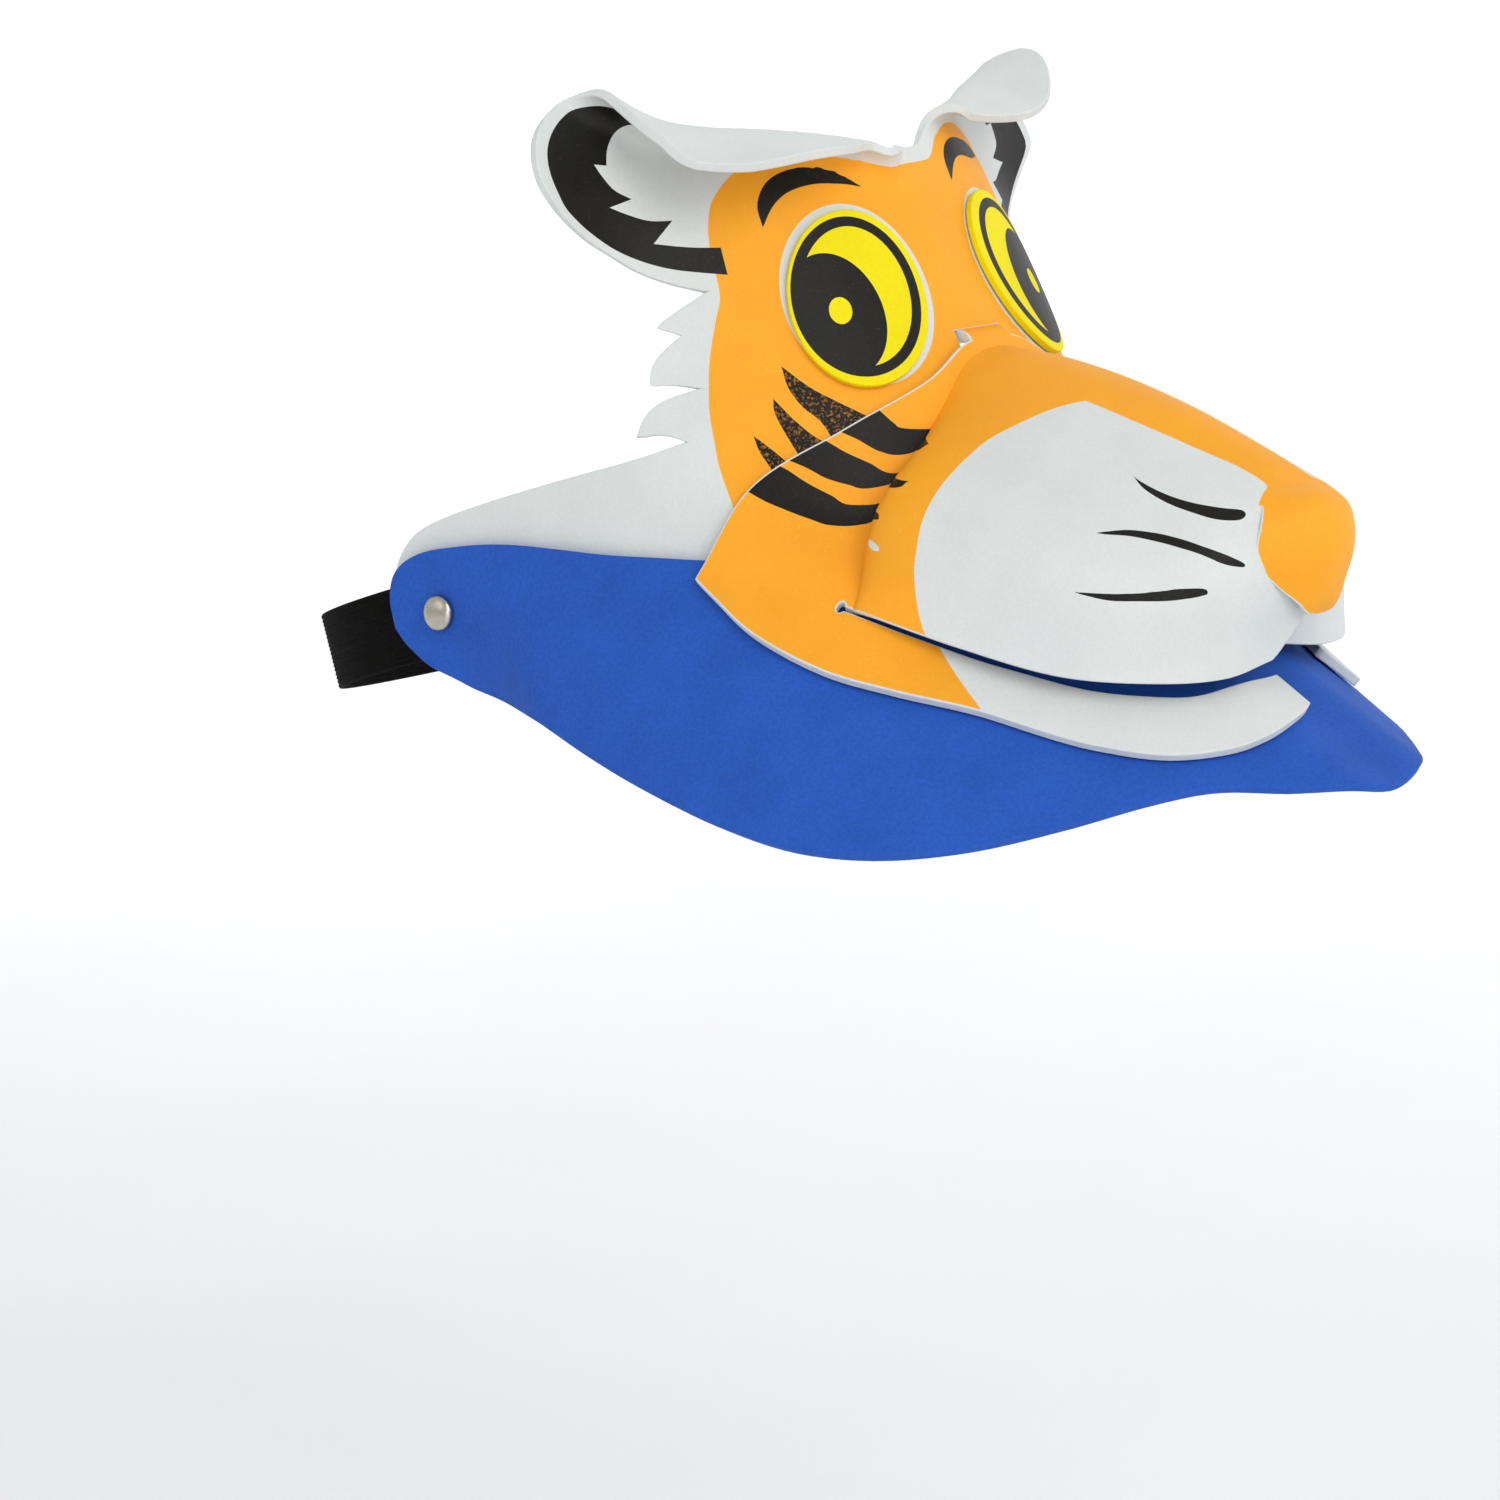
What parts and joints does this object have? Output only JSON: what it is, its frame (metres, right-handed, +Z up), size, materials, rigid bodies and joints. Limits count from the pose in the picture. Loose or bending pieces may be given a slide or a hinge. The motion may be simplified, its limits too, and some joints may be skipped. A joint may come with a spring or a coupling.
{
  "type": "foam animal visor hat",
  "caption": "Tiger-face sun visor of foam sheet: curved brim, upright printed face with ears and raised eyes, folded muzzle, elastic strap held by rivets.",
  "frame": {"origin": "midway between the two side rivets, where the visor sits on the temples", "axes": "+Z up, the animal face looks along -Y, +X is the wearer's left"},
  "size_m": [0.179, 0.2585, 0.1413],
  "materials": {
    "face_foam": "matte EVA foam sheet, white with orange and black print",
    "brim_foam": "matte blue EVA foam sheet",
    "muzzle_foam": "matte EVA foam sheet, white with orange and black print",
    "eye_foam": "matte yellow EVA foam with black print",
    "rivet_metal": "nickel plated, semi-gloss",
    "elastic": "black ribbed elastic tape"
  },
  "bodies": {
    "root": {"face_panel": "face_foam", "visor_brim": "brim_foam", "muzzle": "muzzle_foam", "eye_right": "eye_foam", "eye_left": "eye_foam", "rivet_right": "rivet_metal", "rivet_left": "rivet_metal", "elastic_strap": "elastic"}
  },
  "joints": []
}
